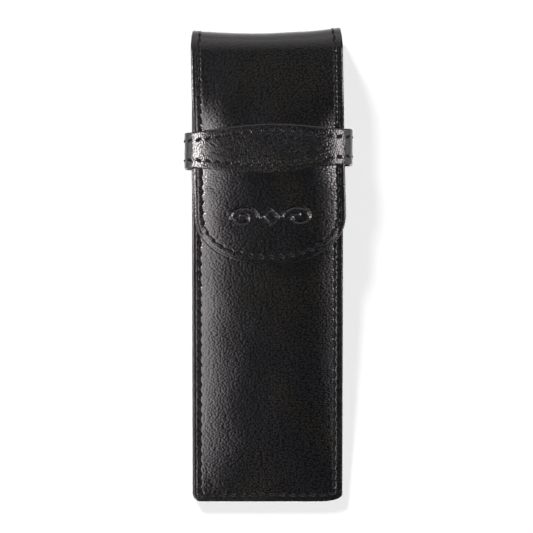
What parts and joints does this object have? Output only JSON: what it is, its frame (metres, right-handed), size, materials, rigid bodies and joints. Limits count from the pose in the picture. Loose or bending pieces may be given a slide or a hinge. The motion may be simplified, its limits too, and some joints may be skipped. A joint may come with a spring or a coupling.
{
  "type": "fountain pen case",
  "caption": "Wedge-shaped stitched leather case for fountain pens, with gusseted sides and a fold-over flap whose rounded tongue tucks under a keeper strap.",
  "frame": {"origin": "centre of the bounding box in X and Y, on the plane the case lies on", "axes": "+X to the right across the case seen from the front, +Y towards the fold, +Z out of the front, as the case lies on its back"},
  "size_m": [0.057, 0.1598, 0.0193],
  "materials": {
    "outer_leather": "black grained leather, semi-gloss",
    "lining_leather": "thin matte black lining leather",
    "board": "bonded leather fibre board, matte",
    "thread": "waxed black thread"
  },
  "bodies": {
    "case": {"back_panel": "outer_leather", "back_board": "board", "back_lining": "lining_leather", "front_panel": "outer_leather", "front_lining": "lining_leather", "gusset_left": "outer_leather", "gusset_right": "outer_leather", "pen_divider": "outer_leather", "divider_thread": "thread", "mouth_thread": "thread", "seam_thread_front": "thread", "seam_thread_back": "thread", "keeper_strap": "outer_leather", "keeper_lining": "lining_leather", "keeper_thread_upper": "thread", "keeper_thread_lower": "thread"},
    "flap_top": {"flap_top_leather": "outer_leather", "flap_top_lining": "lining_leather", "flap_top_thread_left": "thread", "flap_top_thread_right": "thread"},
    "flap": {"flap_leather": "outer_leather", "flap_lining": "lining_leather", "flap_thread": "thread", "flap_thread_inner": "thread"}
  },
  "joints": [
    {"name": "flap_back_fold", "type": "hinge", "parent": "case", "child": "flap_top", "pos_m": [-0.00036, 0.07705, 0.00204], "axis": [-0.9998, -0.0209, 0], "range_deg": [0, 90], "deforming": ["keeper_strap", "keeper_lining", "keeper_thread_upper", "keeper_thread_lower"]},
    {"name": "flap_front_fold", "type": "hinge", "parent": "flap_top", "child": "flap", "pos_m": [-0.00035, 0.07684, 0.01554], "axis": [-0.9998, -0.0209, 0], "range_deg": [0, 90]}
  ],
  "couplings": [
    {"joint": "flap_front_fold", "follows": "flap_back_fold", "ratio": 1}
  ]
}
